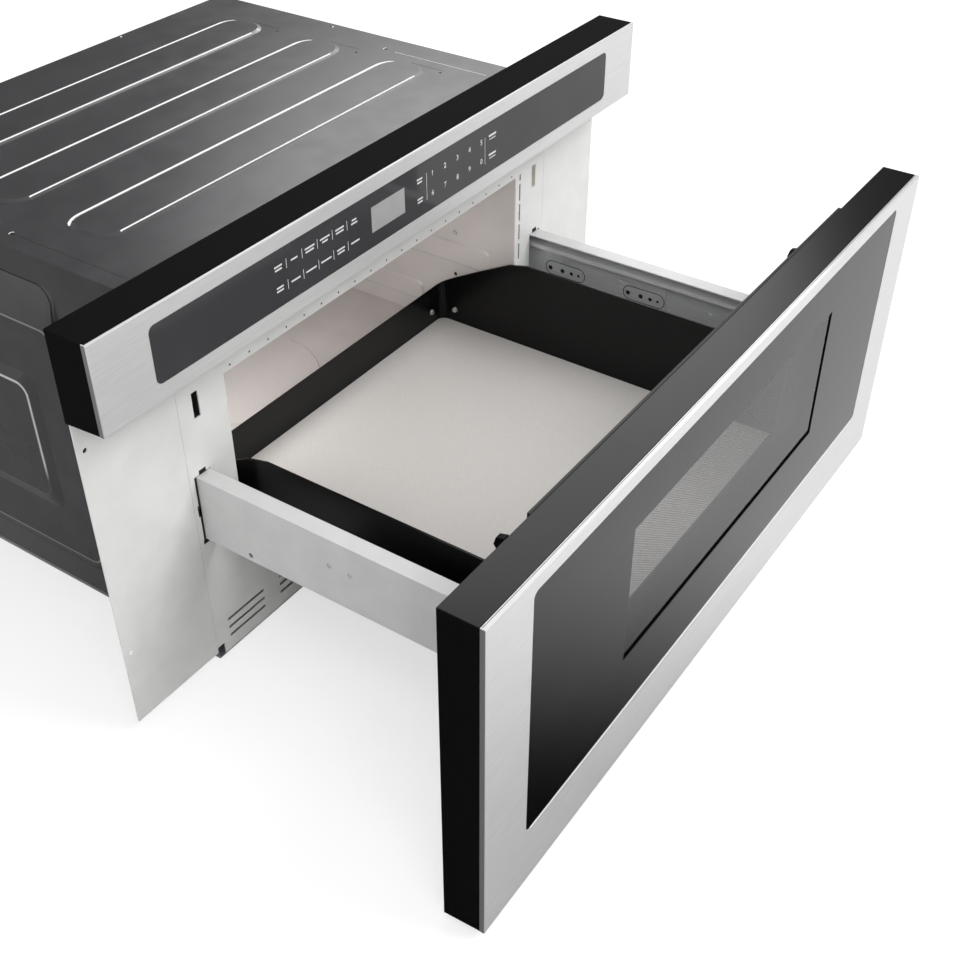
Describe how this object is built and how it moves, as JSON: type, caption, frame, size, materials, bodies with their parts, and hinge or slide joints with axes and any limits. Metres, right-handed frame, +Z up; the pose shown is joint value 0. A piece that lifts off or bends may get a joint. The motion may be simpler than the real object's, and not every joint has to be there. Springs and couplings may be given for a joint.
{
  "type": "microwave drawer",
  "caption": "Built-in microwave drawer: steel-fronted door and ceramic-floored tray slide out of a sheet-metal cabinet below a glass control panel.",
  "frame": {"origin": "on the base plane, midway across, at the rear face of the front plate and its mounting flanges", "axes": "+X to the right seen from the front, +Y back into the cabinet, +Z up; the drawer opens along -Y and rests fully open"},
  "size_m": [0.759, 0.9219, 0.4105],
  "materials": {
    "cabinet_paint": "satin",
    "white_paint": "satin",
    "zinc_sheet": "satin",
    "cavity_enamel": "gloss",
    "black_moulding": "satin",
    "stainless": "brushed",
    "control_glass": "gloss",
    "door_glass": "gloss",
    "inner_glass": "gloss",
    "display": "matte",
    "perforated_screen": "matte",
    "choke_plastic": "satin",
    "tray_enamel": "satin",
    "glass_ceramic": "satin",
    "rail_paint": "satin",
    "slide_steel": "satin",
    "nylon": "satin",
    "circuit_board": "satin",
    "dark_plastic": "matte",
    "motor_metal": "satin",
    "core_steel": "matte",
    "capacitor_can": "satin",
    "aluminium": "satin",
    "screw_steel": "bright",
    "cover_ceramic": "matte",
    "rubber": "matte"
  },
  "bodies": {
    "cabinet": {"outer_wrap": "cabinet_paint", "back_panel": "zinc_sheet", "rear_housing": "zinc_sheet", "base_pan": "zinc_sheet", "cabinet_screws": "screw_steel", "front_plate": "white_paint", "cavity_shell": "cavity_enamel", "antenna_cover": "cover_ceramic", "waveguide": "zinc_sheet", "magnetron": "aluminium", "antenna_motor": "motor_metal", "cavity_lamp": "dark_plastic", "power_transformer": "core_steel", "hv_capacitor": "capacitor_can", "fan_shroud": "dark_plastic", "fan_motor": "motor_metal", "noise_filter": "circuit_board", "mains_gland": "rubber", "panel_frame": "black_moulding", "panel_fascia": "stainless", "control_glass": "control_glass", "display_module": "display", "control_board": "circuit_board", "drive_bracket": "zinc_sheet", "drive_gearbox": "dark_plastic", "drive_motor": "motor_metal", "rack_guide": "nylon", "mounting_flange_left": "white_paint", "mounting_flange_right": "white_paint", "latch_switch_left": "dark_plastic", "latch_switch_right": "dark_plastic", "slide_bracket_left": "zinc_sheet", "slide_bracket_right": "zinc_sheet", "slide_fixed_left": "slide_steel", "slide_fixed_right": "slide_steel"},
    "drawer": {"door_frame": "black_moulding", "door_fascia": "stainless", "door_glass": "door_glass", "door_inner_panel": "zinc_sheet", "door_screen": "perforated_screen", "choke_cover": "choke_plastic", "inner_pane": "inner_glass", "tray_shell": "tray_enamel", "tray_floor": "glass_ceramic", "tray_screws": "screw_steel", "rail_screws": "screw_steel", "drive_rack": "nylon", "rack_carrier": "zinc_sheet", "slide_moving_left": "slide_steel", "slide_moving_right": "slide_steel", "rail_left": "rail_paint", "rail_right": "rail_paint", "latch_hook_left": "black_moulding", "latch_hook_right": "black_moulding"},
    "slide_middles": {"slide_middle_left": "slide_steel", "slide_middle_right": "slide_steel"},
    "pinion": {"drive_pinion": "nylon"},
    "fan": {"fan_wheel": "dark_plastic"},
    "antenna": {"rotating_antenna": "aluminium"}
  },
  "joints": [
    {"name": "drawer_slide", "type": "slide", "parent": "cabinet", "child": "drawer", "axis": [0, -1, 0], "range_m": [-0.3249, 0]},
    {"name": "middle_slide", "type": "slide", "parent": "cabinet", "child": "slide_middles", "axis": [0, -1, 0], "range_m": [-0.1625, 0]},
    {"name": "pinion_spin", "type": "hinge", "parent": "cabinet", "child": "pinion", "pos_m": [0.15, 0.04, 0.03585], "axis": [1, 0, 0], "range_deg": [-1182.5, 0]},
    {"name": "fan_spin", "type": "hinge", "parent": "cabinet", "child": "fan", "pos_m": [0.168, 0.4716, 0.0462], "axis": [0, 1, 0], "continuous": true},
    {"name": "antenna_spin", "type": "hinge", "parent": "cabinet", "child": "antenna", "pos_m": [0, 0.215, 0.07], "axis": [0, 0, 1], "continuous": true}
  ],
  "couplings": [
    {"joint": "middle_slide", "follows": "drawer_slide", "ratio": 0.5},
    {"joint": "pinion_spin", "follows": "drawer_slide", "rad_per_m": 63.492}
  ]
}
